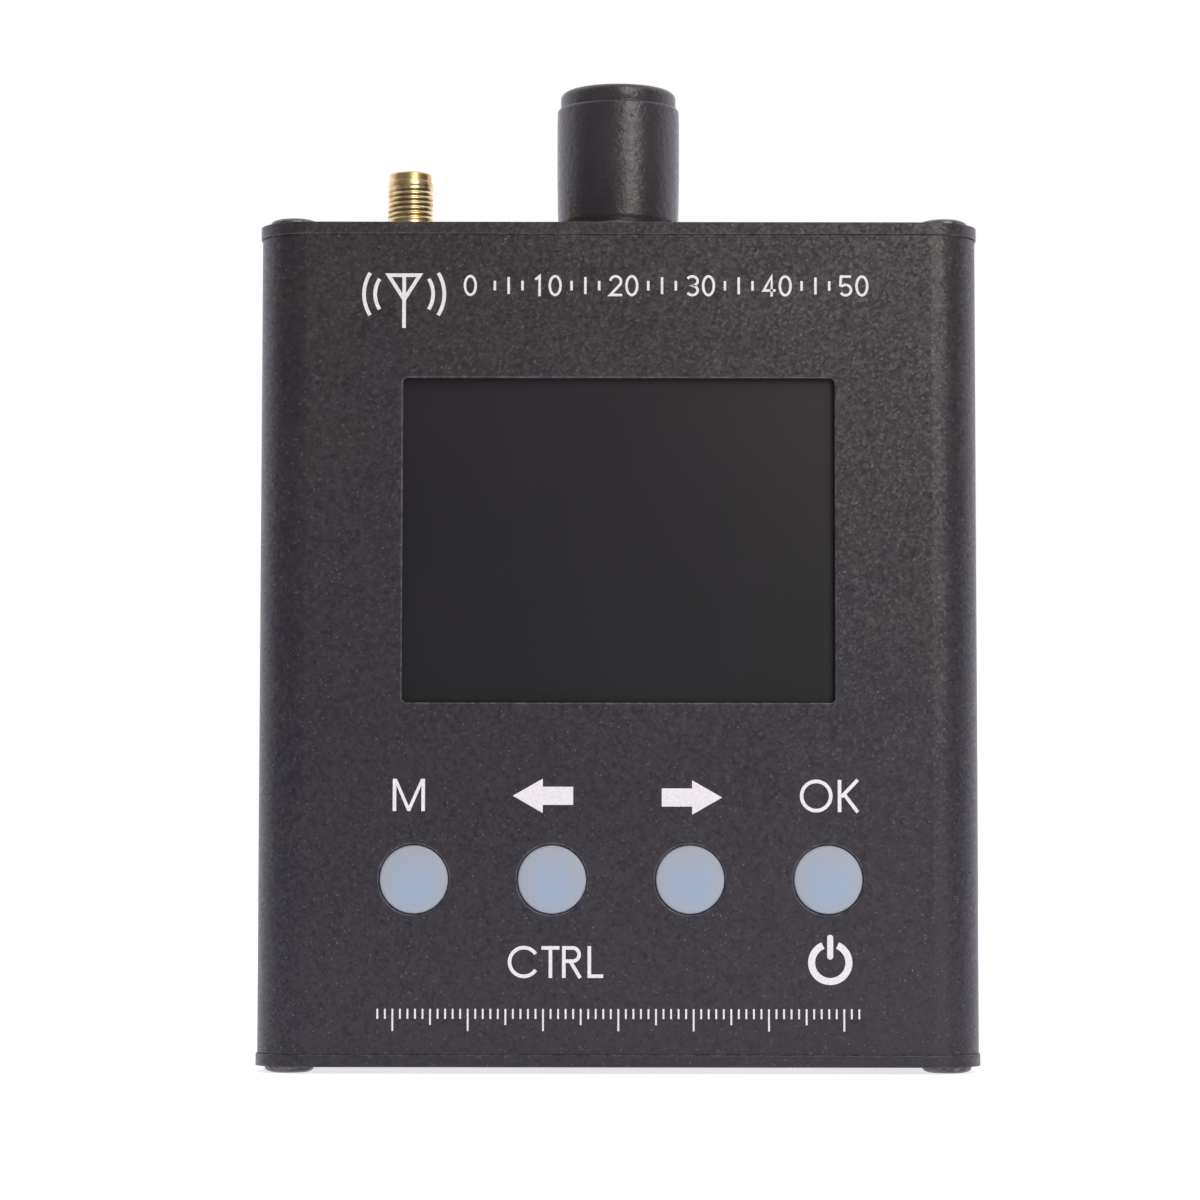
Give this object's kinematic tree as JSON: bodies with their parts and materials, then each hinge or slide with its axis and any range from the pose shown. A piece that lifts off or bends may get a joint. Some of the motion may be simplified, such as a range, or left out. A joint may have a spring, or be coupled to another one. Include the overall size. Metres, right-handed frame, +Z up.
{
  "type": "antenna analyzer",
  "caption": "Hand-held antenna analyzer: flat black extruded box with end plates, display window, round push keys, small threaded coaxial jack and large coaxial jack under a dust cap.",
  "frame": {"origin": "under the middle of the box, level with the lowest screw heads, on which it stands", "axes": "+Z up towards the coaxial jacks, -Y out of the front face with the window and the keys, +X to the right of someone facing it"},
  "size_m": [0.0974, 0.0404, 0.1358],
  "materials": {
    "black_anodised": "sandblasted and anodised black",
    "black_screw": "black oxide",
    "clear_pane": "clear hard-coated pane over a dark display",
    "foam_black": "closed-cell foam",
    "display_glass": "dark, switched off",
    "backlight_white": "white",
    "carrier_plastic": "moulded",
    "ribbon_amber": "polyimide film",
    "ivory_plastic": "moulded",
    "key_blue": "milky blue-grey moulded",
    "switch_black": "moulded",
    "spring_steel": "bright sheet",
    "board_green": "solder mask",
    "chip_black": "moulded",
    "spacer_brass": "plain",
    "cell_foil": "laminated foil",
    "tape_white": "adhesive foam",
    "wire_red": "insulation",
    "wire_black": "insulation",
    "lamp_lens": "translucent",
    "gold_brass": "gold plated",
    "insulator_white": "fluoropolymer",
    "nickel_brass": "nickel plated",
    "cap_black": "soft satin"
  },
  "bodies": {
    "case": {"front_shell": "black_anodised", "rear_shell": "black_anodised", "top_end_plate": "black_anodised", "bottom_end_plate": "black_anodised", "top_plate_screws": "black_screw", "bottom_plate_screws": "black_screw", "window_pane": "clear_pane", "window_gasket": "foam_black", "lcd_panel": "display_glass", "lcd_backlight": "backlight_white", "lcd_carrier": "carrier_plastic", "lcd_flex": "ribbon_amber", "flex_connector": "ivory_plastic", "switch_bases": "switch_black", "switch_covers": "spring_steel", "switch_domes": "spring_steel", "main_board": "board_green", "main_board_chips": "chip_black", "rf_board": "board_green", "rf_board_chips": "chip_black", "rf_shield_can": "spring_steel", "board_standoffs": "spacer_brass", "board_screws": "spring_steel", "rf_board_screws": "spring_steel", "battery_cell": "cell_foil", "battery_tape": "tape_white", "battery_circuit": "ribbon_amber", "battery_wire_red": "wire_red", "battery_wire_black": "wire_black", "battery_plug": "ivory_plastic", "battery_socket": "ivory_plastic", "usb_shell": "spring_steel", "usb_insert": "switch_black", "charge_led": "lamp_lens", "led_leads": "spring_steel", "sma_body": "gold_brass", "sma_dielectric": "insulator_white", "sma_contact": "gold_brass", "sma_nut": "gold_brass", "sma_washer": "gold_brass", "n_body": "nickel_brass", "n_dielectric": "insulator_white", "n_contact": "gold_brass", "n_washer": "nickel_brass", "n_nut": "nickel_brass"},
    "menu_key": {"menu_button": "key_blue", "menu_stem": "switch_black"},
    "left_key": {"left_button": "key_blue", "left_stem": "switch_black"},
    "right_key": {"right_button": "key_blue", "right_stem": "switch_black"},
    "ok_key": {"ok_button": "key_blue", "ok_stem": "switch_black"},
    "dust_cap": {"dust_cap": "cap_black"}
  },
  "joints": [
    {"name": "menu_press", "type": "slide", "parent": "case", "child": "menu_key", "axis": [0, 1, 0], "range_m": [0, 0.0003], "stiffness_N_per_m": 500, "springref_m": -0.003},
    {"name": "left_press", "type": "slide", "parent": "case", "child": "left_key", "axis": [0, 1, 0], "range_m": [0, 0.0003], "stiffness_N_per_m": 500, "springref_m": -0.003},
    {"name": "right_press", "type": "slide", "parent": "case", "child": "right_key", "axis": [0, 1, 0], "range_m": [0, 0.0003], "stiffness_N_per_m": 500, "springref_m": -0.003},
    {"name": "ok_press", "type": "slide", "parent": "case", "child": "ok_key", "axis": [0, 1, 0], "range_m": [0, 0.0003], "stiffness_N_per_m": 500, "springref_m": -0.003},
    {"name": "dust_cap_pull", "type": "slide", "parent": "case", "child": "dust_cap", "axis": [0, 0, 1], "range_m": [0, 0.03]}
  ]
}
